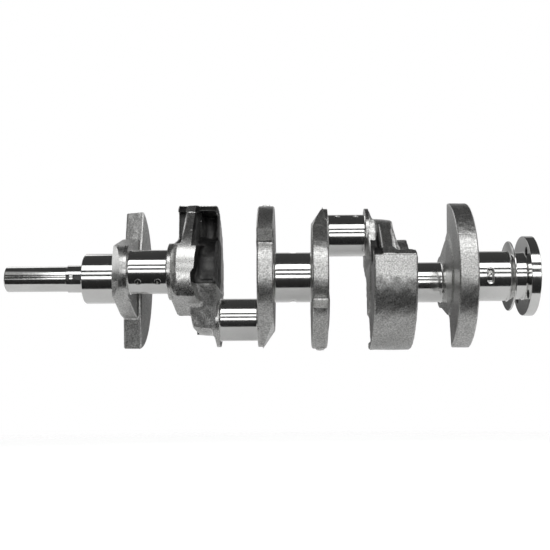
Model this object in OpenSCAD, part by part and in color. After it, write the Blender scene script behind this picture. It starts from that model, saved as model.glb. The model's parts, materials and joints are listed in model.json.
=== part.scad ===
// Cross-plane V8 crankshaft with three main bearings and four paired rod journals.
// +X runs along the crank axis, from the nose to the flywheel flange, and the origin is the
// centre of the centre main journal. Throws 1 to 4 point to -Y, -Z, +Z and +Y.
// The crank is one forging: its sections meet face to face at the planes where they change.

/* [Journals] */
// Diameter of the three main journals
main_d = 63.5; // [60:0.1:68]
// Diameter of the four rod journals
rod_d = 53.34; // [48:0.01:56]
// Crank radius, half of the stroke
throw = 53.98; // [50:0.01:57]
// Radius of the ground fillet at each end of a journal
fillet_r = 3; // [1:0.5:4]

/* [Lengths along the axis] */
// Nose, in front of the timing gear seat
snout_len = 78.5; // [50:0.5:100]
// Timing gear seat
gear_seat_len = 22.5; // [20:0.5:30]
// Front main journal
front_main_len = 45.5; // [40:0.5:60]
// Centre main journal
centre_main_len = 46.5; // [40:0.5:60]
// Rear main journal
rear_main_len = 52.5; // [45:0.5:65]
// Each rod journal, wide enough for two connecting rods
rod_len = 47.5; // [44:0.5:54]
// Web 1, behind the front main
web_1_t = 21.75; // [16:0.25:26]
// Web 2, between rod journals 1 and 2
web_2_t = 58; // [52:0.25:64]
// Webs 3 and 4, beside the centre main
inner_web_t = 21; // [18:0.25:26]
// Web 5, between rod journals 3 and 4
web_5_t = 57.25; // [52:0.25:64]
// Web 6, in front of the rear main
web_6_t = 23.5; // [16:0.25:26]

/* [Webs] */
// Radius of webs 1, 2, 5 and 6 around the crank axis
hub_r = 50; // [46:0.5:54]
// Radius of webs 3 and 4 around the crank axis
wide_hub_r = 66.5; // [60:0.5:67]
// Radius of an arm's end around its rod journal
arm_tip_r = 33.5; // [31:0.5:36]
// Radius of the ground thrust lip beside a rod journal
lip_r = 34.5; // [32:0.5:38]
// Thickness of the thrust lip
lip_t = 4; // [2:0.5:6]
// Height of the lip above the arm's face
lip_step = 1.2; // [0.5:0.1:2]
// Width left at an arm's tip before its chamfer
chamfer_start = 7; // [5:0.5:10]
// Radius from the crank axis that the chamfer comes down to
chamfer_low_r = 68; // [60:0.5:76]
// Thickness of each arm of webs 2 and 5
middle_arm_t = 35; // [30:0.5:40]
// Radius that the arms of webs 2 and 5 are turned down to
turned_r = 73; // [68:0.5:78]

/* [Counterweights] */
// Rim radius of each counterweight, from front to rear
weight_r = [90, 92.5, 91, 91, 93, 93];
// Half of the angle that each counterweight covers
weight_half_angle = [81, 53, 58, 58, 53, 81];
// Chamfer along the rim's edges
rim_chamfer = 2.5; // [1:0.5:4]
// Height of the parting ridge left at the middle of the rims of webs 3 and 4
ridge_h = 2; // [1:0.5:3]
// Width of the parting ridge
ridge_w = 10; // [6:0.5:12]
// Half of the angle that the parting ridge covers
ridge_half_angle = 6; // [4:0.5:10]

/* [Front end] */
// Diameter of the nose
snout_d = 32.5; // [28:0.25:34]
// Diameter of the timing gear seat
gear_seat_d = 34.925; // [34.5:0.005:40]
// Width of the two keyways
keyway_w = 6.35; // [4.5:0.05:8]
// Depth of the two keyways
keyway_depth = 3; // [2:0.25:4]
// Radius of the crank bolt's threaded hole
crank_bolt_r = 7.2; // [5:0.1:9]
// Depth of the crank bolt's threaded hole
crank_bolt_depth = 48; // [30:1:60]

/* [Rear end] */
// Diameter of the oil slinger
slinger_d = 89; // [80:0.5:96]
// Thickness of the oil slinger
slinger_t = 4.5; // [3:0.5:6]
// Diameter of the seal land
seal_land_d = 60; // [56:0.5:62]
// Length of the seal land
seal_land_len = 15.5; // [12:0.5:20]
// Diameter of the flywheel flange
flange_d = 101.6; // [98:0.1:110]
// Thickness of the flywheel flange
flange_t = 12; // [10:0.5:16]
// Diameter of the circle that the flywheel bolts sit on
bolt_circle_d = 76.2; // [75:0.1:78]
// Radius of the flywheel bolts' tapped holes
flange_hole_r = 4.95; // [4:0.05:5.5]
// Radius of the pilot bearing's bore
pilot_bore_r = 17.5; // [12:0.5:20]
// Depth of the pilot bearing's bore
pilot_bore_depth = 20; // [14:0.5:24]

/* [Oil drillings] */
// Radius of the oil drillings
oil_r = 3; // [2:0.25:4]
// Distance from a rod journal's middle to each of its two oil holes
oil_pair = 11.75; // [8:0.25:14]
// Angle of the rod journals' oil holes, turned about +X from the throw
oil_angle = 35; // [0:1:45]
// Width of the rear main's lead-in groove
groove_w = 10; // [9.5:0.5:12]
// Depth of the lead-in groove at its middle
groove_depth = 2.5; // [2:0.25:3]
// Radius of the round cutter that makes the lead-in groove
groove_cutter_r = 40; // [20:1:60]
// Angle from the oil hole to the groove's middle, turned about +X
groove_turn = 8; // [4:1:12]

/* [Hidden] */
$fn = 96;
clear = 1;

// Stations along X, each one the face between two sections
centre_x = centre_main_len / 2;
rod_2_x = -centre_x - inner_web_t - rod_len;
web_2_x = rod_2_x - web_2_t;
rod_1_x = web_2_x - rod_len;
web_1_x = rod_1_x - web_1_t;
front_main_x = web_1_x - front_main_len;
gear_seat_x = front_main_x - gear_seat_len;
snout_x = gear_seat_x - snout_len;
rod_3_x = centre_x + inner_web_t;
web_5_x = rod_3_x + rod_len;
rod_4_x = web_5_x + web_5_t;
web_6_x = rod_4_x + rod_len;
rear_main_x = web_6_x + web_6_t;
slinger_x = rear_main_x + rear_main_len;
seal_land_x = slinger_x + slinger_t;
flange_x = seal_land_x + seal_land_len;
rear_face_x = flange_x + flange_t;

rod_x = [rod_1_x, rod_2_x, rod_3_x, rod_4_x];
web_x = [web_1_x, web_2_x, rod_2_x + rod_len, centre_x, web_5_x, web_6_x];
web_t = [web_1_t, web_2_t, inner_web_t, inner_web_t, web_5_t, web_6_t];

// Each throw's turn about +X from -Z, and each counterweight's
throw_angle = [-90, 0, 180, 90];
weight_angle = [90, 135, 180, 0, -45, -90];
// Middle of the main journal that feeds each rod journal with oil
feed_x = [front_main_x + front_main_len / 2, 0, 0, rear_main_x + rear_main_len / 2];
// The slanting drillings start this far past the crank axis, and this far each side of the middle
oil_start = 15;
oil_start_gap = 4;
// How far each counterweight's front and rear faces lie inside its web's faces
weight_inset = [[1, -3.25], [4, 4.25], [1, 0], [0, 1], [4.25, 1.5], [0, 0]];

// Radius of each web around the crank axis
web_hub_r = [hub_r, hub_r, wide_hub_r, wide_hub_r, hub_r, hub_r];

forged = [0.47, 0.47, 0.46];
ground = [0.80, 0.80, 0.79];

// Turns a shape drawn in XY, with Z along the crank, so that its X points along a throw
module on_crank(x, angle) {
    translate([x, 0, 0])
        rotate([angle, 0, 0])
            rotate([0, 90, 0])
                children();
}

// The same for a web whose local Z runs from its rod journal's face towards a main journal
module from_rod(x, angle, towards) {
    translate([x, 0, 0])
        rotate([angle, 0, 0])
            mirror([towards < 0 ? 1 : 0, 0, 0])
                rotate([0, 90, 0])
                    children();
}

// Half section of a journal, with a ground fillet flaring out at each end that meets a web
function fillet_arc(r, z, turn) = [
    for (step = [0 : 6])
        let (a = step * 15)
            [r + fillet_r * (1 - sin(a)), z + turn * fillet_r * (1 - cos(a))]
];
function reversed(points) = [for (i = [len(points) - 1 : -1 : 0]) points[i]];

module journal_shape(r, long, free_front = false) {
    bevel = 1.5;
    front_end = free_front ? [[r - bevel, 0], [r, bevel]] : fillet_arc(r, 0, 1);
    rotate_extrude()
        polygon(concat([[0, 0]], front_end, reversed(fillet_arc(r, long, -1)), [[0, long]]));
}

// Outline of an arm: a hub circle and a tip circle joined by their outer tangents
module arm_outline(around_hub, around_tip) {
    slope = asin((around_hub - around_tip) / throw);
    circle(r = around_hub);
    translate([throw, 0])
        circle(r = around_tip);
    polygon([
        for (side = [1, -1], end = side > 0 ? [0, 1] : [1, 0])
            let (r = end == 0 ? around_hub : around_tip)
                [end * throw + r * sin(slope), side * r * cos(slope)]
    ]);
}

module turned_arm_outline() {
    intersection() {
        arm_outline(hub_r, arm_tip_r);
        circle(r = turned_r);
    }
}

module thrust_lip() {
    translate([throw, 0, 0])
        cylinder(r = lip_r, h = lip_t);
}

// An arm beside a main journal, with its tip chamfered towards that journal
module single_arm(thick, around_hub) {
    thrust_lip();
    difference() {
        translate([0, 0, lip_step])
            linear_extrude(thick - lip_step)
                arm_outline(around_hub, arm_tip_r);
        rotate([90, 0, 0])
            linear_extrude(4 * lip_r, center = true)
                polygon([
                    [throw + lip_r, chamfer_start],
                    [chamfer_low_r, thick],
                    [chamfer_low_r, thick + clear],
                    [throw + 2 * lip_r, thick + clear],
                    [throw + 2 * lip_r, chamfer_start]
                ]);
    }
}

// The part of a middle web's arm that lies between its rod journal and the web's core
module middle_arm(thick) {
    flare = throw + lip_r - turned_r;
    thrust_lip();
    translate([throw, 0, lip_t])
        cylinder(r1 = lip_r, r2 = lip_r - flare, h = flare / 2);
    translate([0, 0, lip_step])
        linear_extrude(thick - lip_step)
            turned_arm_outline();
}

// A counterweight turned about the crank axis, its rim's edges chamfered
module weight_shape(r, half_angle, low, high) {
    rotate([0, 0, -half_angle])
        rotate_extrude(angle = 2 * half_angle)
            polygon([
                [0, low], [r - rim_chamfer, low], [r, low + rim_chamfer],
                [r, high - rim_chamfer], [r - rim_chamfer, high], [0, high]
            ]);
}

module parting_ridge(r, middle) {
    rotate([0, 0, -ridge_half_angle])
        rotate_extrude(angle = 2 * ridge_half_angle)
            translate([hub_r, middle - ridge_w / 2])
                square([r + ridge_h - hub_r, ridge_w]);
}

// One counterweight, without what its web's arms already fill
module counterweight(i) {
    low = weight_inset[i][0];
    high = web_t[i] - weight_inset[i][1];
    color(forged)
        difference() {
            on_crank(web_x[i], weight_angle[i]) {
                weight_shape(weight_r[i], weight_half_angle[i], low, high);
                if (i == 2 || i == 3)
                    parting_ridge(weight_r[i], (low + high) / 2);
            }
            web_fill(i);
        }
}

// What the arms and core of a web take out of its counterweight
module web_fill(i) {
    if (i == 1 || i == 4) {
        first = i == 1 ? 0 : 2;
        on_crank(web_x[i] - clear, throw_angle[first])
            linear_extrude(middle_arm_t + clear)
                turned_arm_outline();
        on_crank(web_x[i] + web_t[i] - middle_arm_t, throw_angle[first + 1])
            linear_extrude(middle_arm_t + clear)
                turned_arm_outline();
    } else {
        overhang = 5;
        on_crank(web_x[i] - overhang, weight_angle[i] + 180)
            linear_extrude(web_t[i] + 2 * overhang)
                arm_outline(web_hub_r[i], arm_tip_r);
    }
}

// Two straight drillings into rod journal i, each from the far side of its main journal
module oil_ways(i) {
    middle = rod_x[i] + rod_len / 2;
    mouth_r = rod_d / 2 + clear;
    for (side = [-1, 1])
        on_crank(0, throw_angle[i])
            drilling([-oil_start, 0, feed_x[i] + side * oil_start_gap],
                [throw + mouth_r * cos(oil_angle), mouth_r * sin(oil_angle),
                 middle + side * oil_pair]);
}

module drilling(from, to) {
    way = to - from;
    flat = norm([way[0], way[1]]);
    translate(from)
        rotate([0, 0, atan2(way[1], way[0])])
            rotate([0, atan2(flat, way[2]), 0])
                cylinder(r = oil_r, h = norm(way));
}

// A radial hole into a main journal, with a chamfered mouth
module main_oil_hole(x, angle) {
    mouth = 1.5;
    on_crank(x, angle)
        rotate([0, 90, 0]) {
            cylinder(r = oil_r, h = main_d);
            translate([0, 0, main_d / 2 - mouth])
                cylinder(r1 = oil_r, r2 = oil_r + 2 * mouth, h = 2 * mouth);
        }
}

// A shallow groove that leads from a main journal's surface into its oil hole
module lead_in_groove(x, angle) {
    on_crank(x - groove_w / 2, angle + groove_turn)
        translate([main_d / 2 + groove_cutter_r - groove_depth, 0, 0])
            cylinder(r = groove_cutter_r, h = groove_w);
}

module snout() {
    bevel = 1.5;
    color(ground)
        translate([snout_x, 0, 0])
            rotate([0, 90, 0])
                difference() {
                    union() {
                        cylinder(r1 = snout_d / 2 - bevel, r2 = snout_d / 2, h = bevel);
                        translate([0, 0, bevel])
                            cylinder(r = snout_d / 2, h = snout_len - bevel);
                    }
                    translate([0, 0, -clear])
                        cylinder(r = crank_bolt_r, h = crank_bolt_depth + clear);
                    translate([0, 0, crank_bolt_depth])
                        cylinder(r1 = crank_bolt_r, r2 = 0, h = crank_bolt_r / 2);
                }
}

// Both keyways face the same way as throw 1
module gear_seat() {
    land = 4;
    front_len = 5;
    color(ground)
        difference() {
            on_crank(gear_seat_x, throw_angle[0])
                cylinder(r = gear_seat_d / 2, h = gear_seat_len);
            keyway(gear_seat_x - clear, front_len + clear);
            keyway(gear_seat_x + front_len + land, gear_seat_len - front_len - land + clear);
        }
}

module keyway(x, long) {
    on_crank(x, throw_angle[0])
        translate([gear_seat_d / 2 - keyway_depth, -keyway_w / 2, 0])
            cube([2 * keyway_depth, keyway_w, long]);
}

module front_main_journal() {
    color(ground)
        difference() {
            on_crank(front_main_x, 0)
                journal_shape(main_d / 2, front_main_len, free_front = true);
            main_oil_hole(feed_x[0], throw_angle[0] + 180);
            oil_ways(0);
        }
}

module centre_main_journal() {
    seam_angle = 45; // keeps the round wall's seam away from the oil holes
    color(ground)
        difference() {
            on_crank(-centre_x, seam_angle)
                journal_shape(main_d / 2, centre_main_len);
            for (angle = [throw_angle[1], throw_angle[2]])
                main_oil_hole(0, angle);
            oil_ways(1);
            oil_ways(2);
        }
}

module rear_main_journal() {
    color(ground)
        difference() {
            on_crank(rear_main_x, 0)
                journal_shape(main_d / 2, rear_main_len);
            main_oil_hole(feed_x[3], throw_angle[3] + 180);
            lead_in_groove(feed_x[3], throw_angle[3] + 180);
            oil_ways(3);
        }
}

module rod_journal(i) {
    color(ground)
        difference() {
            on_crank(rod_x[i], throw_angle[i])
                translate([throw, 0, 0])
                    journal_shape(rod_d / 2, rod_len);
            oil_ways(i);
        }
}

// Arm of webs 1, 3, 4 and 6, which carries one rod journal; towards is the main's side
module web_arm(i, rod, towards) {
    face_x = towards > 0 ? web_x[i] : web_x[i] + web_t[i];
    color(forged)
        difference() {
            from_rod(face_x, throw_angle[rod], towards)
                single_arm(web_t[i], web_hub_r[i]);
            oil_ways(rod);
        }
}

// Outer part of an arm of webs 2 and 5
module web_middle_arm(i, rod, towards) {
    face_x = towards > 0 ? web_x[i] : web_x[i] + web_t[i];
    color(forged)
        from_rod(face_x, throw_angle[rod], towards)
            middle_arm(web_t[i] - middle_arm_t);
}

// Core of webs 2 and 5, where both arms pass the crank axis
module web_core(i, front_rod) {
    color(forged)
        for (rod = [front_rod, front_rod + 1])
            on_crank(web_x[i] + web_t[i] - middle_arm_t, throw_angle[rod])
                linear_extrude(2 * middle_arm_t - web_t[i])
                    turned_arm_outline();
}

module oil_slinger() {
    edge = 1;
    color(ground)
        on_crank(slinger_x, 0) {
            cylinder(r1 = slinger_d / 2 - edge, r2 = slinger_d / 2, h = slinger_t / 3);
            translate([0, 0, slinger_t / 3])
                cylinder(r = slinger_d / 2, h = slinger_t / 3);
            translate([0, 0, 2 * slinger_t / 3])
                cylinder(r1 = slinger_d / 2, r2 = slinger_d / 2 - edge, h = slinger_t / 3);
        }
}

module pilot_bore() {
    translate([rear_face_x - pilot_bore_depth, 0, 0])
        rotate([0, 90, 0])
            cylinder(r = pilot_bore_r, h = pilot_bore_depth + clear);
}

module seal_land() {
    color(ground)
        difference() {
            on_crank(seal_land_x, 0)
                cylinder(r = seal_land_d / 2, h = seal_land_len);
            pilot_bore();
        }
}

module flywheel_flange() {
    edge = 1;
    color(ground)
        difference() {
            on_crank(flange_x, 0) {
                cylinder(r1 = flange_d / 2 - edge, r2 = flange_d / 2, h = edge);
                translate([0, 0, edge])
                    cylinder(r = flange_d / 2, h = flange_t - 2 * edge);
                translate([0, 0, flange_t - edge])
                    cylinder(r1 = flange_d / 2, r2 = flange_d / 2 - edge, h = edge);
            }
            pilot_bore();
            for (angle = [45 : 90 : 315])
                on_crank(flange_x - clear, angle)
                    translate([bolt_circle_d / 2, 0, 0])
                        cylinder(r = flange_hole_r, h = flange_t + 2 * clear);
        }
}

snout();
gear_seat();
front_main_journal();
web_arm(0, 0, -1);  // web_1_arm
counterweight(0);  // web_1_counterweight
rod_journal(0);  // rod_journal_1
web_middle_arm(1, 0, 1);  // web_2_front_arm
web_core(1, 0);  // web_2_core
web_middle_arm(1, 1, -1);  // web_2_rear_arm
counterweight(1);  // web_2_counterweight
rod_journal(1);  // rod_journal_2
web_arm(2, 1, 1);  // web_3_arm
counterweight(2);  // web_3_counterweight
centre_main_journal();
web_arm(3, 2, -1);  // web_4_arm
counterweight(3);  // web_4_counterweight
rod_journal(2);  // rod_journal_3
web_middle_arm(4, 2, 1);  // web_5_front_arm
web_core(4, 2);  // web_5_core
web_middle_arm(4, 3, -1);  // web_5_rear_arm
counterweight(4);  // web_5_counterweight
rod_journal(3);  // rod_journal_4
web_arm(5, 3, 1);  // web_6_arm
counterweight(5);  // web_6_counterweight
rear_main_journal();
oil_slinger();
seal_land();
flywheel_flange();
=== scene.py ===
"""The looks of a forged V8 crankshaft: its webs, journals, nose and rear end, with a studio round it."""

import json
import math

import bpy
import numpy as np
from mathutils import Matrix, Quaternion, Vector


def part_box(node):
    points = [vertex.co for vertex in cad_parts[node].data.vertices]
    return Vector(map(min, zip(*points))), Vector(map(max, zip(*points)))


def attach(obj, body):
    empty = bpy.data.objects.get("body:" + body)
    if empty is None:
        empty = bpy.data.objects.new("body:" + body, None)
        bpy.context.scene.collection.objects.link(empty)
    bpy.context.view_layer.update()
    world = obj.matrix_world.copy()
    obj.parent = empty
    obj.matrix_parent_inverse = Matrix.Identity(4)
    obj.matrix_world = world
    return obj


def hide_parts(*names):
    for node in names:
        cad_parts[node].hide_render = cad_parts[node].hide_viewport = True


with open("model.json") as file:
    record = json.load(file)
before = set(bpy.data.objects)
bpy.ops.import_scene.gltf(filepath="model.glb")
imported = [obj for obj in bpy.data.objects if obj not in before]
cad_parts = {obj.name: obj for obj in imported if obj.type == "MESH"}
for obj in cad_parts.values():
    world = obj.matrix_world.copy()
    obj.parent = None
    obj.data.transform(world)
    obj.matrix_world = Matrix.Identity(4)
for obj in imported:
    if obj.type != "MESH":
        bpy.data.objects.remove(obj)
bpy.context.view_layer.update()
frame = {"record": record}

# ---------------------------------------------------------------- sizes, in millimetres
MM = 0.001
MOUNTS = {m["name"]: m for m in frame["record"]["mounts"]}
MAIN_R = MOUNTS["centre_main"]["dims"]["r_mm"]
ROD_R = MOUNTS["rod_journal_1"]["dims"]["r_mm"]
SNOUT_R = MOUNTS["snout"]["dims"]["r_mm"]
SEAT_R = MOUNTS["gear_seat"]["dims"]["r_mm"]
BORE_R = MOUNTS["pilot_bore"]["dims"]["r_mm"]

# Journals: the ground fillet at each end, the oil holes, and the ball-shaped dishes at their mouths
FILLET_R = 2.3
OIL_R = 3.0
OIL_DEEP = 22.0
OIL_PAIR = 11.75
OIL_ANGLE = 35.0
OIL_START = 15.0
OIL_SLANT = 0.6
MAIN_DISH_R, MAIN_DISH_DEEP = 4.0, 0.6
ROD_DISH_R, ROD_DISH_DEEP = 4.5, 1.2
# The rear main's groove and the centre main's lead-ins: the radius of the ball that cuts each, how far
# outside the wall its centre runs, and how far it runs round the wall
GROOVE_BALL_R, GROOVE_BALL_OUT = 5.2, 2.6
GROOVE_MIDDLE, GROOVE_HALF = -4.0, 5.6
LEAD_BALL_R, LEAD_BALL_OUT = 9.2, 8.0
LEAD_HALF = 7.0

# Webs: radii round the crank axis (hubs, counterweights) and round the rod journal (tips, lips)
HUB_R = 50.0
WIDE_HUB_R = 67.0
TIP_R = 33.5
LIP_R = 34.5
LIP_T = 4.0
BOSS_R = 39.0
BOSS_T = 4.0
CHAMFER_START = 7.0
CHAMFER_LOW_R = 68.0
FORGED_EDGE = 2.5
TURNED_EDGE = 0.4
WAVE_HEIGHT = 0.16
WEIGHT_R = (90.0, 92.5, 91.0, 91.0, 93.0, 93.0)
WEIGHT_HALF = (81.0, 53.0, 58.0, 58.0, 53.0, 81.0)
# How far the lip round a rod journal stands above its web's face
LIP_STEP = (1.2, 0.6, 0.3, 0.3, 0.6, 0.4)

# Webs 3 and 4: the ridge of flash on the counterweight's rim
FLASH_HIGH = 1.8
FLASH_HALF_W = 9.0
FLASH_INSET = 5.5

# Middle webs: their hubs, and how far the counterweight's faces lie below the rod journals' faces
MIDDLE_HUB_R = 47.0
CORE_R = 51.0
FACE_STEP = 5.3
# The turned tip of an arm, and how it flares towards its rod journal and draws in behind it
TURNED_R = 73.8
FLARE, FLARE_DEPTH, FLARE_POWER = 15.0, 8.0, 2.7
WAIST, WAIST_START, WAIST_RUN = 1.6, 11.0, 20.0
# The back of an arm: its depth, its crown over the half width, and its lean from tip to hub
BACK_T, BACK_CROWN, BACK_HALF_W, BACK_LEAN = 26.0, 6.0, 32.0, 0.14
# The arm's flanks spread with depth; an arm's face steps down over this run, from this height
FLANK_SPREAD = 2.5
STEP_FROM, STEP_RUN = 20.0, 7.7
# The ramp from an arm's tip to the counterweight, its band along the rim, and the pocket beside it
RAMP_REACH = 74.2
RAMP_START, RAMP_END = 14.0, 31.0
RIM_BAND = 82.0
POCKET_R = 12.5
POCKET_FLOOR, POCKET_LEAN = 16.0, 0.36
POCKET_SQUASH = 0.6

# Grid cells for webs, for journals and flange, and for the gear seat
CELL = 1.1
FINE_CELL = 0.9
KEYWAY_CELL = 0.6
# The grid starts this many cells early, so that its planes miss flat faces
GRID_LEAD = 2.37
# How strongly a vertex is held to the middle of its cell's crossings
CENTRE_PULL = 0.02
# Turned pieces keep edges sharper than this, in degrees
SHARP_ANGLE = 25.0
# A profile meets the axis in a ring this small
AXIS_R = 0.01
# What machined faces may be off their own field, and a value for a field that is nowhere near
MACHINED_BAND = 0.12
FAR = 99.0


def span(node):
    """Lowest and highest X of a CAD node, in millimetres."""
    low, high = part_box(node)
    return low.x / MM, high.x / MM


def throw_of(rod):
    """Unit vector in YZ from the crank axis to a rod journal, and its distance in millimetres."""
    _, y, z = MOUNTS[f"rod_journal_{rod}"]["pos_m"]
    reach = math.hypot(y, z)
    return np.array([y, z]) / reach, reach / MM


THROW = throw_of(1)[1]


# ---------------------------------------------------------------- distance fields
def along(y, z, way):
    """Coordinates along a YZ direction and across it, turned +90 degrees about +X."""
    return y * way[0] + z * way[1], z * way[0] - y * way[1]


def arm_outline(u, v, hub, tip, reach):
    """Distance to a hub circle and a tip circle joined by their outer tangents."""
    v = np.abs(v)
    sine = (hub - tip) / reach
    cosine = math.sqrt(1 - sine * sine)
    foot = cosine * u - sine * v
    return np.where(foot < 0, np.hypot(u, v) - hub,
                    np.where(foot > cosine * reach, np.hypot(u - reach, v) - tip,
                             u * sine + v * cosine - hub))


def sector_outline(u, v, radius, half_angle):
    """Distance to a sector of a disc, opening along +u."""
    v = np.abs(v)
    sine, cosine = math.sin(half_angle), math.cos(half_angle)
    rim = np.hypot(u, v) - radius
    reach = np.clip(v * sine + u * cosine, 0, radius)
    flank = np.hypot(v - sine * reach, u - cosine * reach)
    return np.maximum(rim, flank * np.sign(v * cosine - u * sine))


def slab(outline, x, low, high, edge):
    """An outline extruded from low to high along x, with its edges rounded."""
    w = outline + edge
    h = np.abs(x - (low + high) / 2) - (high - low) / 2 + edge
    return np.minimum(np.maximum(w, h), 0) + np.hypot(np.maximum(w, 0), np.maximum(h, 0)) - edge


def joined(a, b, blend):
    """Union with a fillet of about that size."""
    h = np.clip(0.5 + 0.5 * (b - a) / blend, 0, 1)
    return b + (a - b) * h - blend * h * (1 - h)


def without(a, b, blend):
    """a with b taken out, its edge rounded."""
    return -joined(-a, b, blend)


def forge_waves(x, y, z):
    """The slight unevenness of a forged surface."""
    return (np.sin(0.31 * x + 0.17 * y + 1.3) * np.sin(0.23 * y - 0.12 * z + 0.4)
            + 0.6 * np.sin(0.19 * z + 0.37 * x) * np.sin(0.41 * y + 0.27 * z + 2.1)
            + 0.4 * np.sin(0.67 * x - 0.53 * z) * np.sin(0.59 * y + 0.71 * x))


# ---------------------------------------------------------------- surfaces from distance fields
def gradient(field, points, step=0.02):
    """Unit vectors out of the metal, by central differences."""
    parts = []
    for axis in range(3):
        shift = np.zeros(3)
        shift[axis] = step
        parts.append(field(*(points + shift).T) - field(*(points - shift).T))
    g = np.stack(parts, 1)
    return g / np.maximum(np.linalg.norm(g, axis=1, keepdims=True), 1e-9)


def crossings(grid, low, cell, axis, field):
    """Points where the field changes sign along one axis of the grid, with the edges they lie on."""
    lead = np.take(grid, range(grid.shape[axis] - 1), axis) < 0
    next_one = np.take(grid, range(1, grid.shape[axis]), axis) < 0
    edges = np.argwhere(lead != next_one)
    step = np.eye(3, dtype=int)[axis]
    a = grid[tuple(edges.T)]
    b = grid[tuple((edges + step).T)]
    start = low + cell * edges
    t0, t1 = np.zeros(len(edges)), np.ones(len(edges))
    for _ in range(4):
        t = t0 + (t1 - t0) * np.clip(a / (a - b), 0.05, 0.95)
        value = field(*(start + cell * t[:, None] * step).T)
        same = (value < 0) == (a < 0)
        t0, a = np.where(same, t, t0), np.where(same, value, a)
        t1, b = np.where(same, t1, t), np.where(same, b, value)
    t = t0 + (t1 - t0) * a / np.where(a == b, 1, a - b)
    return edges, start + cell * t[:, None] * step, lead[tuple(edges.T)]


def contour(field, low, high, cell):
    """Dual contouring: quads on the zero surface, with corners kept sharp."""
    low = np.array(low, float) - GRID_LEAD * cell
    counts = np.ceil((np.array(high) - low) / cell).astype(int) + 3
    axes = [low[k] + cell * np.arange(counts[k]) for k in range(3)]
    grid = field(*np.meshgrid(*axes, indexing="ij"))
    quads, owners, places, slopes = [], [], [], []
    for axis in range(3):
        edges, points, leads_in = crossings(grid, low, cell, axis, field)
        normals = gradient(field, points)
        one, two = np.eye(3, dtype=int)[(axis + 1) % 3], np.eye(3, dtype=int)[(axis + 2) % 3]
        corners = [edges, edges - one, edges - one - two, edges - two]
        cells = np.stack([np.ravel_multi_index(tuple(c.T), counts) for c in corners], 1)
        quads.append(np.where(leads_in[:, None], cells, cells[:, ::-1]))
        owners.append(cells.ravel())
        places.append(np.repeat(points, 4, 0))
        slopes.append(np.repeat(normals, 4, 0))
    owners, places, slopes = map(np.concatenate, (owners, places, slopes))
    cells, index = np.unique(owners, return_inverse=True)
    index = index.ravel()

    def total(values):
        return np.bincount(index, values, len(cells))

    number = total(np.ones(len(index)))
    middle = np.stack([total(places[:, k]) for k in range(3)], 1) / number[:, None]
    offset = np.einsum("ij,ij->i", slopes, places - middle[index])
    square = np.stack([total(slopes[:, i] * slopes[:, j]) for i in range(3) for j in range(3)], 1)
    square = square.reshape(-1, 3, 3) + np.eye(3) * (CENTRE_PULL * number)[:, None, None]
    right = np.stack([total(slopes[:, k] * offset) for k in range(3)], 1)
    vertices = middle + np.linalg.solve(square, right[:, :, None])[:, :, 0]
    floor = low + cell * np.stack(np.unravel_index(cells, counts), 1)
    vertices = np.clip(vertices, floor, floor + cell)
    return vertices, np.searchsorted(cells, np.concatenate(quads))


def mesh_object(name, vertices, quads, normals, finishes, materials):
    """A smooth-shaded object from quads, with a normal for each corner and a finish for each face."""
    mesh = bpy.data.meshes.new(name)
    mesh.vertices.add(len(vertices))
    mesh.vertices.foreach_set("co", (vertices * MM).astype(np.float32).ravel())
    mesh.loops.add(quads.size)
    mesh.loops.foreach_set("vertex_index", quads.astype(np.int32).ravel())
    mesh.polygons.add(len(quads))
    mesh.polygons.foreach_set("loop_start", np.arange(0, quads.size, 4, dtype=np.int32))
    mesh.polygons.foreach_set("loop_total", np.full(len(quads), 4, np.int32))
    for material in materials:
        mesh.materials.append(material)
    mesh.polygons.foreach_set("material_index", finishes.astype(np.int32))
    mesh.polygons.foreach_set("use_smooth", np.ones(len(quads), bool))
    mesh.update(calc_edges=True)
    mesh.validate()
    mesh.normals_split_custom_set(normals)
    piece = bpy.data.objects.new(name, mesh)
    bpy.context.scene.collection.objects.link(piece)
    return piece


def carve(name, field, machined, low, high, cell, materials, painted_shade=None):
    """A piece whose surface is where field is zero.

    A face on one of the machined fields gets material 1, and any other inside the field that marks painted
    shade gets material 2, the painted shade.
    """
    vertices, quads = contour(field, low, high, cell)
    corners = vertices[quads]
    centres = corners.mean(1)
    flat = np.cross(corners[:, 2] - corners[:, 0], corners[:, 3] - corners[:, 1])
    flat /= np.maximum(np.linalg.norm(flat, axis=1, keepdims=True), 1e-9)
    finishes = np.zeros(len(quads), int)
    # faces inside that field get material 2, which paints shade on them
    if painted_shade is not None:
        finishes[painted_shade(*centres.T) < 0] = 2
    for surface in machined:
        finishes[np.abs(surface(*centres.T)) < MACHINED_BAND] = 1
    # a corner's normal is read a little inside its own face, which keeps sharp edges sharp
    near = (corners * 0.7 + centres[:, None] * 0.3).reshape(-1, 3)
    normals = gradient(field, near)
    flat_loops = np.repeat(flat, 4, 0)
    turned_away = np.einsum("ij,ij->i", normals, flat_loops) < 0.8
    normals[turned_away] = flat_loops[turned_away]
    return mesh_object(name, vertices, quads, normals, finishes, materials)


# ---------------------------------------------------------------- materials
def new_material(name, colour, roughness, metallic=1.0):
    """A node material, with its nodes, links and shader at hand."""
    material = bpy.data.materials.new(name)
    material.use_nodes = True
    nodes = material.node_tree.nodes
    shader = nodes["Principled BSDF"]
    shader.inputs["Base Color"].default_value = (*colour, 1)
    shader.inputs["Roughness"].default_value = roughness
    shader.inputs["Metallic"].default_value = metallic
    return material, nodes, material.node_tree.links, shader


def noise(nodes, links, scale, detail, stretch=(1, 1, 1)):
    """Noise in the object's own coordinates, finer along an axis that is stretched."""
    place = nodes.new("ShaderNodeTexCoord")
    mapping = nodes.new("ShaderNodeMapping")
    mapping.inputs["Scale"].default_value = stretch
    texture = nodes.new("ShaderNodeTexNoise")
    texture.inputs["Scale"].default_value = scale
    texture.inputs["Detail"].default_value = detail
    links.new(place.outputs["Object"], mapping.inputs["Vector"])
    links.new(mapping.outputs["Vector"], texture.inputs["Vector"])
    return texture.outputs["Fac"]


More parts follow.
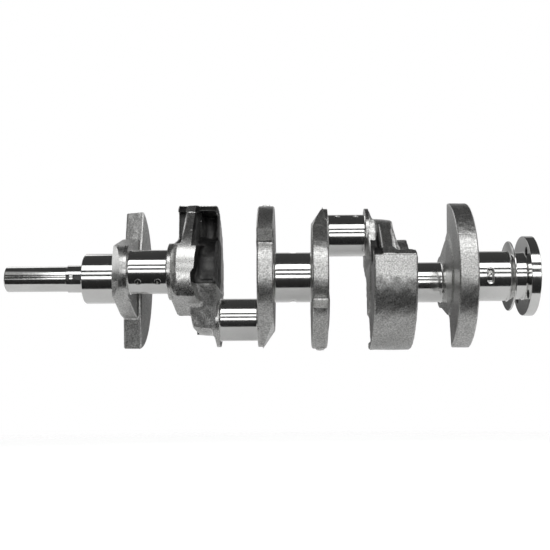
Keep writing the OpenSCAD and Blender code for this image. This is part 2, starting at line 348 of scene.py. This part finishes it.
def ramp(nodes, links, value, low, high, low_at=0.35, high_at=0.65):
    """A colour ramp from low to high, which are greys or colours."""
    node = nodes.new("ShaderNodeValToRGB")
    for element, colour, at in zip(node.color_ramp.elements, (low, high), (low_at, high_at)):
        element.position = at
        element.color = (*colour, 1) if isinstance(colour, tuple) else (colour, colour, colour, 1)
    links.new(value, node.inputs["Fac"])
    return node.outputs["Color"]


def bump(nodes, links, shader, heights):
    """Bumps one after another: each is a height, a strength and a distance in metres."""
    last = None
    for height, strength, distance in heights:
        node = nodes.new("ShaderNodeBump")
        node.inputs["Strength"].default_value = strength
        node.inputs["Distance"].default_value = distance
        links.new(height, node.inputs["Height"])
        if last is not None:
            links.new(last, node.inputs["Normal"])
        last = node.outputs["Normal"]
    links.new(last, shader.inputs["Normal"])


def forged_steel():
    """Shot-blasted steel with a pitted grain."""
    material, nodes, links, shader = new_material("forged_steel", (0.6, 0.6, 0.59), 0.37)
    patches = noise(nodes, links, 30, 4)
    pits = noise(nodes, links, 240, 5)
    grain = noise(nodes, links, 560, 4)
    base = ramp(nodes, links, patches, (0.58, 0.58, 0.57), (0.66, 0.66, 0.65))
    fine = ramp(nodes, links, grain, 0.62, 1.2, 0.36, 0.64)
    mix = nodes.new("ShaderNodeMix")
    mix.data_type = "RGBA"
    mix.blend_type = "MULTIPLY"
    mix.inputs["Factor"].default_value = 1
    links.new(base, mix.inputs["A"])
    links.new(fine, mix.inputs["B"])
    links.new(mix.outputs["Result"], shader.inputs["Base Color"])
    links.new(ramp(nodes, links, pits, 0.33, 0.41), shader.inputs["Roughness"])
    bump(nodes, links, shader, [(pits, 0.3, 0.0004), (grain, 0.4, 0.0004)])
    return material


def scaled_steel():
    """Painted shade: near-black, rough steel for the pockets and ramps of the middle webs."""
    material, nodes, links, shader = new_material("scaled_steel", (0.1, 0.1, 0.1), 0.5)
    patches = noise(nodes, links, 60, 4)
    grain = noise(nodes, links, 560, 4)
    # painted shade: near-black greys that stand in for the shade that falls in the pockets
    scale = ramp(nodes, links, patches, (0.04, 0.04, 0.04), (0.10, 0.10, 0.098))
    links.new(scale, shader.inputs["Base Color"])
    links.new(ramp(nodes, links, grain, 0.45, 0.58), shader.inputs["Roughness"])
    bump(nodes, links, shader, [(patches, 0.3, 0.0005), (grain, 0.4, 0.0004)])
    return material


def turned_steel():
    """Steel with the fine rings of a turning tool."""
    material, nodes, links, shader = new_material("turned_steel", (0.60, 0.60, 0.59), 0.27)
    lines = noise(nodes, links, 60, 3, (30, 1, 1))
    grain = noise(nodes, links, 700, 4)
    bands = ramp(nodes, links, lines, (0.54, 0.54, 0.53), (0.66, 0.66, 0.65))
    links.new(bands, shader.inputs["Base Color"])
    links.new(ramp(nodes, links, grain, 0.22, 0.34), shader.inputs["Roughness"])
    bump(nodes, links, shader, [(lines, 0.08, 0.0001), (grain, 0.1, 0.0001)])
    return material


def ground_steel():
    """Bright steel with a thin, uneven film of oil."""
    material, nodes, links, shader = new_material("ground_steel", (0.74, 0.74, 0.73), 0.1)
    lines = noise(nodes, links, 40, 4, (60, 1, 1))
    film = noise(nodes, links, 22, 5)
    oiled = ramp(nodes, links, film, (0.70, 0.70, 0.69), (0.78, 0.78, 0.77))
    links.new(oiled, shader.inputs["Base Color"])
    links.new(ramp(nodes, links, lines, 0.07, 0.15), shader.inputs["Roughness"])
    bump(nodes, links, shader, [(lines, 0.06, 0.00005)])
    return material


def bored_steel():
    """Painted shade for the walls of holes, bores and keyways: near-black steel."""
    material, nodes, links, shader = new_material("bored_steel", (0.1, 0.1, 0.1), 0.4)
    lines = noise(nodes, links, 200, 3, (12, 1, 1))
    # painted shade: near-black greys that stand in for the shade inside holes and keyways
    shade = ramp(nodes, links, lines, (0.07, 0.07, 0.07), (0.14, 0.14, 0.14))
    links.new(shade, shader.inputs["Base Color"])
    bump(nodes, links, shader, [(lines, 0.3, 0.0002)])
    return material


FORGED = forged_steel()
PAINTED_SHADE = scaled_steel()
TURNED = turned_steel()
GROUND = ground_steel()
HOLE_SHADE = bored_steel()


# ---------------------------------------------------------------- webs
def finish_piece(piece, slot_name, *nodes):
    """Puts a piece on the crank's one body, in place of the nodes that it stands for."""
    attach(piece, "root")
    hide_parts(*nodes)


def chamfer_cone(rho, s, thick):
    """Distance outside the cone that an arm's tip is turned to, on its main journal's side."""
    run = THROW + LIP_R - CHAMFER_LOW_R
    rise = thick - CHAMFER_START
    length = math.hypot(run, rise)
    return ((rho - CHAMFER_LOW_R) * rise + (s - thick) * run) / length


def lip_ring(s, u, v):
    """The round lip that a rod journal stands on; s is the depth below its face."""
    return slab(np.hypot(u - THROW, v) - LIP_R, s, 0, LIP_T + 0.5, TURNED_EDGE)


def single_web(number, rod, rod_behind, blend, taper=0.0, tilt=0.0):
    """Webs 1, 3, 4 and 6: one arm and one counterweight, opposite each other.

    The counterweight thins by taper towards its rim on the rod's side; tilt leans its flanks along X.
    The counterweights of webs 3 and 4 are drawn as thick as their arms.
    """
    x0, x1 = span(f"web_{number}_arm")
    w0, w1 = span(f"web_{number}_counterweight")
    if number in (3, 4):
        w0, w1 = x0, x1
    thick = x1 - x0
    way = throw_of(rod)[0]
    radius = WEIGHT_R[number - 1]
    half = math.radians(WEIGHT_HALF[number - 1])
    step = LIP_STEP[number - 1]
    hub = WIDE_HUB_R if number in (3, 4) else HUB_R

    def depth(x):
        return x1 - x if rod_behind else x - x0

    def lip(x, y, z):
        u, v = along(y, z, way)
        return lip_ring(depth(x), u, v)

    def boss(x, y, z):
        return slab(np.hypot(y, z) - BOSS_R, depth(x), thick - BOSS_T, thick, TURNED_EDGE)

    def cone(x, y, z):
        u, _ = along(y, z, way)
        return np.where(u > 0, chamfer_cone(np.hypot(y, z), depth(x), thick), FAR)

    def rod_face(x, y, z):
        return depth(x) - step

    def field(x, y, z):
        u, v = along(y, z, way)
        s = depth(x)
        arm = slab(arm_outline(u, v, hub, TIP_R, THROW), s, step, thick - step, FORGED_EDGE)
        lean = tilt * (x - (w0 + w1) / 2) * np.clip(np.hypot(u, v) / 40, 0, 1)
        weight = np.maximum(sector_outline(-u, v, radius + 9, half) - lean, np.hypot(u, v) - radius)
        thin = taper * np.clip((np.hypot(u, v) - hub) / (radius - hub), 0, 1)
        low, high = (w0, w1 - thin) if rod_behind else (w0 + thin, w1)
        body = slab(weight, x, low, high, FORGED_EDGE)
        if number in (3, 4):
            uneven = 0.35 * np.sin(0.9 * x + 0.4 * v)
            ridge = np.maximum(-u - radius - FLASH_HIGH - uneven, np.abs(v) - FLASH_HALF_W)
            body = joined(body, slab(ridge, x, w0 + FLASH_INSET, w1 - FLASH_INSET, 1.2), 1.5)
        from_cheek = np.minimum(s - step, thick - step - s)
        waves = WAVE_HEIGHT * forge_waves(x, y, z) * np.clip(from_cheek / 5, 0, 0.8)
        body = joined(arm, body, blend) - waves
        body = np.where(u > 0, np.maximum(body, chamfer_cone(np.hypot(y, z), s, thick)), body)
        return np.minimum(np.minimum(body, lip(x, y, z)), boss(x, y, z))

    machined = [lip, boss, cone]
    if number == 6:
        machined.append(rod_face)
    reach = radius + 4
    piece = carve(f"web_{number}", field, machined, (min(x0, w0) - 1, -reach, -reach),
                  (max(x1, w1) + 1, reach, reach), CELL, [FORGED, TURNED])
    finish_piece(piece, "forged_steel", f"web_{number}_arm", f"web_{number}_counterweight")


def middle_web(number, first_rod, second_rod):
    """Webs 2 and 5: the first rod's arm, the second rod's arm, and the counterweight opposite both.

    Depths are measured from the first rod's face. The two arms are alike, so each helper below takes
    t, u and w: the depth below an arm's own face, and the reach along that arm and along the other one.
    """
    x0 = span(f"web_{number}_front_arm")[0]
    x1 = span(f"web_{number}_rear_arm")[1]
    w0, w1 = span(f"web_{number}_counterweight")
    thick = x1 - x0
    ways = (throw_of(first_rod)[0], throw_of(second_rod)[0])
    radius = WEIGHT_R[number - 1]
    half = math.radians(WEIGHT_HALF[number - 1])

    def ends(x, y, z):
        """t, u and w for the first rod's arm, then for the second rod's arm."""
        s = x1 - x if first_rod > second_rod else x - x0
        a, b = (y * way[0] + z * way[1] for way in ways)
        return (s, a, b), (thick - s, b, a)

    def turned_radius(t):
        flare = FLARE * (1 - np.clip((t - LIP_T) / FLARE_DEPTH, 0, 1)) ** FLARE_POWER
        flare = flare + 10 * np.clip(LIP_T - t, 0, LIP_T)
        return TURNED_R + flare - WAIST * np.clip((t - WAIST_START) / WAIST_RUN, 0, 2) ** 2

    def arm(t, u, w):
        back = BACK_T + BACK_CROWN * np.clip((w / BACK_HALF_W) ** 2, 0, 1.2)
        back = back + BACK_LEAN * np.clip(TURNED_R - u, 0, 60)
        flank = (np.abs(w) - LIP_R - 1 - FLANK_SPREAD * t) * 0.37
        outline = np.maximum(arm_outline(u, w, MIDDLE_HUB_R, TIP_R, THROW), flank)
        forged = slab(outline, t, LIP_STEP[number - 1], back, 4)
        forged = np.maximum(forged, (FACE_STEP * np.clip((STEP_FROM - u) / STEP_RUN, 0, 1) - t) * 0.7)
        return np.maximum(forged, np.hypot(u, w) - turned_radius(t))

    def slope(t, u, w, x):
        """From the arm's tip to the counterweight's rim, and a band of it along the whole rim."""
        flat = np.maximum((u - w) * math.sqrt(0.5) - RAMP_REACH, np.hypot(u, w) - radius + 1.5)
        flat = np.maximum(flat, np.maximum(w, -0.14 * w - 6 - u))
        pillar = slab(flat, t, RAMP_START, RAMP_END, 5)
        band = slab(np.maximum(flat, w + RIM_BAND), x, w0, w1, FORGED_EDGE)
        return joined(pillar, band, 4)

    def pocket(t, u, w):
        """A trough beside the ramp, open towards the arm's side."""
        middle = (RAMP_END + thick) / 2 + 0.5
        bottom = POCKET_FLOOR + POCKET_LEAN * np.minimum(w, 0)
        below = POCKET_SQUASH * np.maximum(bottom + POCKET_R / POCKET_SQUASH - u, 0)
        trough = np.hypot(t - middle, below) - POCKET_R
        return without(without(trough, 10 - w, 6), w + RIM_BAND, 2.5)

    def lip(side):
        return lambda x, y, z: lip_ring(*ends(x, y, z)[side])

    def turned(side):
        def one(x, y, z):
            t, u, w = ends(x, y, z)[side]
            near_tip = (t < RAMP_END + 2) & (np.abs(w) < 30)
            return np.where(near_tip, np.hypot(u, w) - turned_radius(t), FAR)
        return one

    def field(x, y, z):
        sides = ends(x, y, z)
        (s, a, b), _ = sides
        rho = np.hypot(a, b)
        u, v = -(a + b) * math.sqrt(0.5), (a - b) * math.sqrt(0.5)
        body = slab(sector_outline(u, v, radius, half), x, w0, w1, FORGED_EDGE)
        body = joined(body, slab(rho - CORE_R, s, FACE_STEP, thick - FACE_STEP, 3), 6)
        for side in sides:
            body = joined(body, slope(*side, x), 2)
        for side in sides:
            body = without(body, pocket(*side), 4)
        waves = WAVE_HEIGHT * forge_waves(x, y, z)
        body = body - waves
        for t, u, w in sides:
            forged = joined(body, arm(t, u, w) - waves, 6)
            outside = np.hypot(u, w) - turned_radius(t)
            body = np.where(u > np.abs(w), np.maximum(forged, outside), forged)
            body = np.minimum(body, lip_ring(t, u, w))
        return np.maximum(body, np.maximum(x0 - x, x - x1))

    def painted_shade(x, y, z):
        """Where shade is painted on: the pockets, the ramps and what lies beside them."""
        inside = []
        for t, u, w in ends(x, y, z):
            # the step in front of the ramp, well beside the arm
            shaded = np.maximum(np.maximum(w + 38, -14 - u), np.maximum(5 - t, t - RAMP_START - 1))
            if number == 2:
                # all that lies behind the ramp, the pocket among it
                gap = np.maximum(np.maximum(w - 14, -22 - u), RAMP_END - 4 - t)
                shaded = np.minimum(shaded, gap)
            # neither the rim nor the far face
            shaded = np.maximum(shaded, np.hypot(u, w) - radius + 1)
            inside.append(np.maximum(shaded, t - thick + 1.5))
        return np.minimum.reduce(inside)

    reach = radius + 4
    # material 2 paints shade into the pockets and beside the ramps
    piece = carve(f"web_{number}", field, [lip(0), lip(1), turned(0), turned(1)], (x0 - 1, -reach, -reach),
                  (x1 + 1, reach, reach), CELL, [FORGED, TURNED, PAINTED_SHADE], painted_shade)
    parts = ("front_arm", "core", "rear_arm", "counterweight")
    finish_piece(piece, "forged_steel", *(f"web_{number}_{part}" for part in parts))


# ---------------------------------------------------------------- journals
def flared(rho, x, radius, low, high, fillet_low=True):
    """A round bar with a ground fillet at its ends."""
    s = np.minimum(x - low, high - x) if fillet_low else high - x
    near = np.clip(FILLET_R - s, 0, FILLET_R)
    grown = FILLET_R - np.sqrt(np.maximum(FILLET_R ** 2 - near ** 2, 0))
    return rho - radius - grown


def drilled(x, y, z, start, way, dish_r, dish_deep):
    """Distance to a drilled hole with a ball-shaped dish at its mouth; way points out of the metal."""
    dx, dy, dz = x - start[0], y - start[1], z - start[2]
    t = dx * way[0] + dy * way[1] + dz * way[2]
    across = np.sqrt(np.maximum(dx * dx + dy * dy + dz * dz - t * t, 0))
    hole = np.maximum(across - OIL_R, -t - OIL_DEEP)
    dish = np.hypot(across, t - dish_r + dish_deep) - dish_r
    return joined(hole, dish, 1.0)


def around(radius, way, angle, reach):
    """A YZ point on a journal whose axis lies at reach along way, and the way out of the metal there.

    The point is turned by angle about +X from the journal's own throw.
    """
    a = math.radians(angle)
    out = way * math.cos(a) + np.array([-way[1], way[0]]) * math.sin(a)
    return way * reach + out * radius, out


def rod_journal(number):
    low, high = span(f"rod_journal_{number}")
    way = throw_of(number)[0]
    middle = (low + high) / 2
    feed = span({1: "front_main_journal", 4: "rear_main_journal"}.get(number, "centre_main_journal"))
    place, square = around(ROD_R, way, OIL_ANGLE, THROW)
    holes = []
    for side in (-1, 1):
        mouth = np.array([middle + side * OIL_PAIR, *place])
        start = np.array([sum(feed) / 2, *(-OIL_START * way)])
        slant = (mouth - start) / np.linalg.norm(mouth - start)
        out = np.array([0, *square]) + OIL_SLANT * slant
        holes.append((mouth, out / np.linalg.norm(out)))

    def field(x, y, z):
        rho = np.hypot(y - THROW * way[0], z - THROW * way[1])
        body = np.maximum(flared(rho, x, ROD_R, low, high), np.maximum(low - x, x - high))
        for mouth, out in holes:
            body = without(body, drilled(x, y, z, mouth, out, ROD_DISH_R, ROD_DISH_DEEP), 0.5)
        return body

    axis = THROW * way
    reach = ROD_R + FILLET_R + 1
    piece = carve(f"rod_journal_{number}_steel", field, [], (low - 1, axis[0] - reach, axis[1] - reach),
                  (high + 1, axis[0] + reach, axis[1] + reach), FINE_CELL, [GROUND])
    finish_piece(piece, "ground_steel", f"rod_journal_{number}")


def ball_track(along_axis, height, beyond, ball_r, ball_out):
    """Distance to what a ball cuts as it runs round a wall; height and beyond are from wall and track."""
    return np.sqrt(along_axis ** 2 + (height - ball_out) ** 2 + beyond ** 2) - ball_r


def main_journal(name, holes, grooved=False, free_front=False, lead_in=False):
    """A main journal with an oil hole in each of the YZ directions in holes.

    grooved cuts a groove beside the hole that faces -Y. lead_in gives the holes that face up and down a
    shallow hollow. free_front chamfers the front end, which has no web to meet.
    """
    low, high = span(name)
    middle = (low + high) / 2

    def field(x, y, z):
        rho = np.hypot(y, z)
        body = flared(rho, x, MAIN_R, low, high, fillet_low=not free_front)
        ends = np.maximum(low - x, x - high)
        if free_front:
            body = np.maximum(body, (rho - MAIN_R + (low - x) + 1.2) * 0.7)
        body = np.maximum(body, ends)
        for out in holes:
            mouth = np.array([middle, *(out * MAIN_R)])
            hole = drilled(x, y, z, mouth, np.array([0, *out]), MAIN_DISH_R, MAIN_DISH_DEEP)
            body = without(body, hole, 0.8)
        if grooved:
            turn = np.arctan2(z, -y) * MAIN_R
            beyond = np.maximum(np.abs(turn - GROOVE_MIDDLE) - GROOVE_HALF, 0)
            track = ball_track(x - middle, rho - MAIN_R, beyond, GROOVE_BALL_R, GROOVE_BALL_OUT)
            body = without(body, track, 0.5)
        if lead_in:
            turn = np.minimum(np.abs(np.arctan2(y, z)), np.abs(np.arctan2(y, -z))) * MAIN_R
            beyond = np.maximum(turn - LEAD_HALF, 0)
            track = ball_track(x - middle, rho - MAIN_R, beyond, LEAD_BALL_R, LEAD_BALL_OUT)
            body = without(body, track, 0.5)
        return body

    reach = MAIN_R + FILLET_R + 1
    piece = carve(name + "_steel", field, [], (low - 1, -reach, -reach), (high + 1, reach, reach),
                  FINE_CELL, [GROUND])
    finish_piece(piece, "ground_steel", name)


# ---------------------------------------------------------------- turned ends
def turned_piece(name, profile, materials, segments=160):
    """A solid of revolution about X, from points of x, radius and the finish of the face that follows."""
    angles = np.linspace(0, 2 * math.pi, segments, endpoint=False)
    points = np.array([(x, r) for x, r, _ in profile])
    rings = np.stack([np.repeat(points[:, :1], segments, 1),
                      points[:, 1:] * np.cos(angles), points[:, 1:] * np.sin(angles)], 2)
    vertices = rings.reshape(-1, 3)
    i = np.arange(segments)
    j = (i + 1) % segments
    quads, finishes = [], []
    for k in range(len(profile) - 1):
        this, after = k * segments, (k + 1) * segments
        quads.append(np.stack([this + i, after + i, after + j, this + j], 1))
        finishes.append(np.full(segments, profile[k][2]))
    mesh = bpy.data.meshes.new(name)
    mesh.from_pydata((vertices * MM).tolist(), [], np.concatenate(quads).tolist())
    for material in materials:
        mesh.materials.append(material)
    mesh.polygons.foreach_set("material_index", np.concatenate(finishes).astype(np.int32))
    mesh.update()
    piece = bpy.data.objects.new(name, mesh)
    bpy.context.scene.collection.objects.link(piece)
    return piece


def smooth(piece, angle):
    """Smooth shading, with edges sharper than angle degrees kept."""
    mesh = piece.data
    mesh.polygons.foreach_set("use_smooth", np.ones(len(mesh.polygons), bool))
    mesh.set_sharp_from_angle(angle=math.radians(angle))


def snout():
    low, high = span("snout")
    bolt_r = MOUNTS["crank_bolt"]["dims"]["r_mm"]
    deep = low + MOUNTS["crank_bolt"]["dims"]["length_mm"]
    # the bolt bore's chamfer, walls and bottom take the painted shade
    profile = [(high, AXIS_R, 0), (high, SNOUT_R, 0), (low + 1.5, SNOUT_R, 0),
               (low + 0.5, SNOUT_R - 0.6, 0), (low, SNOUT_R - 1.5, 1), (low, bolt_r + 1.6, 2),
               (low + 1.6, bolt_r, 2), (deep, bolt_r, 2), (deep + bolt_r / 2, AXIS_R, 2)]
    piece = turned_piece("nose", profile, [GROUND, TURNED, HOLE_SHADE])
    smooth(piece, SHARP_ANGLE)
    finish_piece(piece, "ground_steel", "snout")


def gear_seat():
    low, high = span("gear_seat")
    key_w, key_deep, front_len, land = 6.35, 3.0, 5.0, 4.0
    way = throw_of(1)[0]

    def keyway(x, y, z, start, end):
        u, v = along(y, z, way)
        section = np.maximum(SEAT_R - key_deep - u, np.abs(v) - key_w / 2)
        return np.maximum(np.maximum(start - x, x - end), section)

    def slots(x, y, z):
        front = keyway(x, y, z, low - 1, low + front_len)
        return np.minimum(front, keyway(x, y, z, low + front_len + land, high + 1))

    def field(x, y, z):
        body = slab(np.hypot(y, z) - SEAT_R, x, low, high + 2, TURNED_EDGE)
        return np.maximum(np.maximum(body, x - high), -slots(x, y, z))

    reach = SEAT_R + 1
    # the keyway walls take the painted shade
    piece = carve("gear_seat_steel", field, [slots], (low - 1, -reach, -reach), (high + 1, reach, reach),
                  KEYWAY_CELL, [GROUND, HOLE_SHADE])
    finish_piece(piece, "ground_steel", "gear_seat")


def slinger():
    low, high = span("oil_slinger")
    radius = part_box("oil_slinger")[1].z / MM
    profile = [(low, AXIS_R, 0), (low, MAIN_R + 1.0, 0), (low + 0.5, MAIN_R + 2.5, 0),
               (low + 1.4, radius - 1.2, 0), (low + 1.9, radius - 0.2, 0), (low + 2.3, radius, 0),
               (low + 2.9, radius, 0), (low + 3.3, radius - 0.3, 0), (high, radius - 4, 0),
               (high, AXIS_R, 0)]
    piece = turned_piece("slinger_ring", profile, [GROUND])
    smooth(piece, SHARP_ANGLE)
    finish_piece(piece, "ground_steel", "oil_slinger")


def seal_land():
    low, high = span("seal_land")
    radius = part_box("seal_land")[1].z / MM
    bore_end = high - 8
    # the pilot bore's walls and bottom take the painted shade
    profile = [(low, AXIS_R, 0), (low, radius + 1.4, 0), (low + 0.4, radius + 0.5, 0),
               (low + 1.4, radius, 0), (high - 2.4, radius, 0), (high - 1.2, radius + 0.3, 0),
               (high - 0.4, radius + 1.0, 0), (high, radius + 2.2, 0), (high, BORE_R, 1),
               (bore_end, BORE_R, 1), (bore_end, AXIS_R, 1)]
    piece = turned_piece("seal_land_steel", profile, [GROUND, HOLE_SHADE])
    smooth(piece, SHARP_ANGLE)
    finish_piece(piece, "ground_steel", "seal_land")


def flange():
    low, high = span("flywheel_flange")
    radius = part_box("flywheel_flange")[1].z / MM
    pattern = MOUNTS["flange_bolts"]["dims"]
    hole_r, circle_r, count = pattern["hole_r_mm"], pattern["pcd_mm"] / 2, int(pattern["count"])

    def hole(x, y, z, k):
        a = math.radians(45 + 360 / count * k)
        rho = np.hypot(y - circle_r * math.cos(a), z - circle_r * math.sin(a))
        mouth = np.minimum(x - low, high - x)
        return (rho - hole_r - np.clip(1.0 - mouth, 0, 1)) * 0.8

    def field(x, y, z):
        rho = np.hypot(y, z)
        body = slab(rho - radius, x, low, high, 0.9)
        bore = rho - BORE_R - np.clip(1.0 - (high - x), 0, 1)
        body = np.maximum(body, -bore * 0.8)
        for k in range(count):
            body = np.maximum(body, -hole(x, y, z, k))
        return body

    # the walls of the bore and the bolt holes, which take the painted shade
    def shaded_walls(x, y, z):
        walls = [np.abs(np.hypot(y, z) - BORE_R)]
        walls += [np.abs(hole(x, y, z, k)) for k in range(count)]
        return np.minimum.reduce(walls)

    reach = radius + 1
    piece = carve("flange_steel", field, [shaded_walls], (low - 1, -reach, -reach), (high + 1, reach, reach),
                  FINE_CELL, [GROUND, HOLE_SHADE])
    finish_piece(piece, "ground_steel", "flywheel_flange")


single_web(1, 1, True, blend=4, tilt=0.2)
middle_web(2, 1, 2)
single_web(3, 2, False, blend=3, taper=0.5)
single_web(4, 3, True, blend=3, taper=2.0)
middle_web(5, 4, 3)
single_web(6, 4, False, blend=8)
for number in range(1, 5):
    rod_journal(number)
main_journal("front_main_journal", [-throw_of(1)[0]], free_front=True)
main_journal("centre_main_journal", [throw_of(2)[0], throw_of(3)[0]], lead_in=True)
main_journal("rear_main_journal", [-throw_of(4)[0]], grooved=True)
snout()
gear_seat()
slinger()
seal_land()
flange()


# ---------------------------------------------------------------- studio
FLOOR_Z = -0.28
CAMERA_X = 0.003
CAMERA_ELEVATION = -8.3
CAMERA_DISTANCE = 1.126
CAMERA_ROLL = 0.385
CAMERA_LENS = 57.6
CAMERA_SHIFT = (-0.0371, 0.0044)
LIGHT_DISTANCE = 1.55
LIGHT_WIDTH = 1.9
LIGHT_X = 0.2
FRONT, BEHIND = -1, 1
# Each softbox: its lowest and highest elevation in degrees, and its radiance
SOFTBOXES = ((-7.5, 1.5, 2.5), (12.0, 21.0, 1.9), (31.0, 53.0, 2.3))
BACK_SOFTBOX = (22.0, 42.0, 0.4)
BACK_WIDTH = 2.6
CORNER_SOFTBOXES = ((4.0, 17.0, 1.1), (26.0, 46.0, 1.1))
CORNER_WIDTH = 0.9
# Each corner: its side, its azimuth from there in degrees, and its share of the corner softboxes' radiance
CORNERS = ((FRONT, -55.0, 0.3), (FRONT, 55.0, 0.8), (BEHIND, -55.0, 1.0), (BEHIND, 55.0, 1.0))
# Cards under the crank, seen only in reflections: from and to along Y, and how pale
CARD_Z = -0.15
CARD_HALF_LENGTH = 1.6
CARDS = (("black_card", -0.78, -0.115, 0.004), ("grey_card", -0.115, 1.2, 0.47))
FLOOR_HALF = 5.0
# The floor fades out from the first of these distances to the second
FLOOR_FADE = (0.9, 3.2)
FLOOR_LIGHT_SIZE = 14.0
FLOOR_LIGHT_HEIGHT = 3.0
FLOOR_LIGHT_POWER = 760.0


def direction(elevation, side=FRONT):
    """Unit vector at that elevation, square to the crank."""
    a = math.radians(elevation)
    return Vector((0, side * math.cos(a), math.sin(a)))


def area_light(name, width, tall, power, place):
    """A rectangular light that the camera doesn't see, facing down."""
    light = bpy.data.lights.new(name, "AREA")
    light.shape = "RECTANGLE"
    light.size = width
    light.size_y = tall
    light.energy = power
    lamp = bpy.data.objects.new(name, light)
    lamp.location = place
    lamp.visible_camera = False
    bpy.context.scene.collection.objects.link(lamp)
    return lamp


def softbox(name, low, high, radiance, width, side=FRONT, azimuth=0.0):
    """A rectangular light that fills a band of elevations, seen from the crank axis."""
    middle = direction((low + high) / 2, side)
    middle.rotate(Quaternion((0, 0, 1), math.radians(azimuth)))
    tall = 2 * LIGHT_DISTANCE * math.tan(math.radians((high - low) / 2))
    lamp = area_light(name, width, tall, radiance * math.pi * width * tall,
                      middle * LIGHT_DISTANCE + Vector((LIGHT_X, 0, 0)))
    lamp.rotation_euler = middle.to_track_quat("Z", "Y").to_euler()


def floor_light():
    """A big light overhead that brightens the floor and doesn't show in the metal."""
    lamp = area_light("floor_light", FLOOR_LIGHT_SIZE, FLOOR_LIGHT_SIZE, FLOOR_LIGHT_POWER,
                      (0, 0, FLOOR_LIGHT_HEIGHT))
    lamp.visible_glossy = False


def level_sheet(name, half_length, y0, y1, height, material):
    """A level rectangle that belongs to the studio."""
    mesh = bpy.data.meshes.new(name)
    corners = [(-half_length, y0), (half_length, y0), (half_length, y1), (-half_length, y1)]
    mesh.from_pydata([(x, y, height) for x, y in corners], [], [(0, 1, 2, 3)])
    mesh.materials.append(material)
    sheet = bpy.data.objects.new(name, mesh)
    bpy.context.scene.collection.objects.link(sheet)
    return sheet


def card(name, y0, y1, grey):
    """A level card that shows only in reflections."""
    material, nodes, links, shader = new_material(name, (grey, grey, grey), 0.9, 0.0)
    weave = noise(nodes, links, 300, 4)
    links.new(ramp(nodes, links, weave, grey * 0.9, grey * 1.1), shader.inputs["Base Color"])
    sheet = level_sheet(name, CARD_HALF_LENGTH, y0, y1, CARD_Z, material)
    sheet.visible_camera = False
    sheet.visible_shadow = False
    sheet.visible_diffuse = False


def pale_floor():
    """A white floor that fades into the background."""
    material, nodes, links, shader = new_material("pale_floor", (0.9, 0.9, 0.9), 0.85, 0.0)
    speckle = noise(nodes, links, 180, 4)
    links.new(ramp(nodes, links, speckle, 0.88, 0.92), shader.inputs["Base Color"])
    place = nodes.new("ShaderNodeTexCoord")
    length = nodes.new("ShaderNodeVectorMath")
    length.operation = "LENGTH"
    fade = nodes.new("ShaderNodeMapRange")
    fade.inputs["From Min"].default_value, fade.inputs["From Max"].default_value = FLOOR_FADE
    clear = nodes.new("ShaderNodeBsdfTransparent")
    mix = nodes.new("ShaderNodeMixShader")
    links.new(place.outputs["Object"], length.inputs[0])
    links.new(length.outputs["Value"], fade.inputs["Value"])
    links.new(fade.outputs["Result"], mix.inputs["Fac"])
    links.new(shader.outputs["BSDF"], mix.inputs[1])
    links.new(clear.outputs["BSDF"], mix.inputs[2])
    links.new(mix.outputs["Shader"], nodes["Material Output"].inputs["Surface"])
    level_sheet("floor", FLOOR_HALF, -FLOOR_HALF, FLOOR_HALF, FLOOR_Z, material)


def studio_world():
    """White to the camera; in reflections, grey below and dark above, with a soft glow low at the back."""
    world = bpy.data.worlds.new("studio")
    bpy.context.scene.world = world
    world.use_nodes = True
    nodes, links = world.node_tree.nodes, world.node_tree.links
    place = nodes.new("ShaderNodeTexCoord")
    split = nodes.new("ShaderNodeSeparateXYZ")
    links.new(place.outputs["Generated"], split.inputs["Vector"])
    height = nodes.new("ShaderNodeMapRange")
    height.inputs["From Min"].default_value = -1
    height.inputs["From Max"].default_value = 1
    links.new(split.outputs["Z"], height.inputs["Value"])
    front = ramp(nodes, links, height.outputs["Result"], 0.4, 0.045, 0.40, 0.46)
    rear = ramp(nodes, links, height.outputs["Result"], 0.10, 0.06, 0.55, 0.72)
    glow = rear.node.color_ramp.elements.new(0.6)
    glow.color = (0.38, 0.38, 0.38, 1)
    side = nodes.new("ShaderNodeMapRange")
    side.inputs["From Min"].default_value = -0.35
    side.inputs["From Max"].default_value = 0.5
    links.new(split.outputs["Y"], side.inputs["Value"])
    blend = nodes.new("ShaderNodeMix")
    blend.data_type = "RGBA"
    links.new(side.outputs["Result"], blend.inputs["Factor"])
    links.new(front, blend.inputs["A"])
    links.new(rear, blend.inputs["B"])
    rays = nodes.new("ShaderNodeLightPath")
    seen = nodes.new("ShaderNodeMix")
    seen.data_type = "RGBA"
    seen.inputs["B"].default_value = (1.0, 1.0, 1.0, 1)
    links.new(rays.outputs["Is Camera Ray"], seen.inputs["Factor"])
    links.new(blend.outputs["Result"], seen.inputs["A"])
    links.new(seen.outputs["Result"], nodes["Background"].inputs["Color"])


def camera():
    """A long lens, looking square to the crank from a little below it."""
    data = bpy.data.cameras.new("camera")
    data.lens = CAMERA_LENS
    data.sensor_width = 36
    data.shift_x, data.shift_y = CAMERA_SHIFT
    data.clip_start, data.clip_end = 0.01, 50
    eye = bpy.data.objects.new("camera", data)
    towards = direction(CAMERA_ELEVATION)
    eye.location = Vector((CAMERA_X, 0, 0)) + towards * CAMERA_DISTANCE
    look = towards.to_track_quat("Z", "Y")
    eye.rotation_mode = "QUATERNION"
    eye.rotation_quaternion = look @ Quaternion((0, 0, 1), -math.radians(CAMERA_ROLL))
    bpy.context.scene.collection.objects.link(eye)
    bpy.context.scene.camera = eye


pale_floor()
for name, y0, y1, grey in CARDS:
    card(name, y0, y1, grey)
for k, (low, high, radiance) in enumerate(SOFTBOXES):
    softbox(f"softbox_{k + 1}", low, high, radiance, LIGHT_WIDTH)
softbox("back_softbox_1", *BACK_SOFTBOX, BACK_WIDTH, BEHIND)
for side, azimuth, share in CORNERS:
    for low, high, radiance in CORNER_SOFTBOXES:
        softbox("corner_softbox", low, high, share * radiance, CORNER_WIDTH, side, azimuth)
floor_light()
studio_world()
camera()
bpy.context.scene.view_settings.view_transform = "Standard"
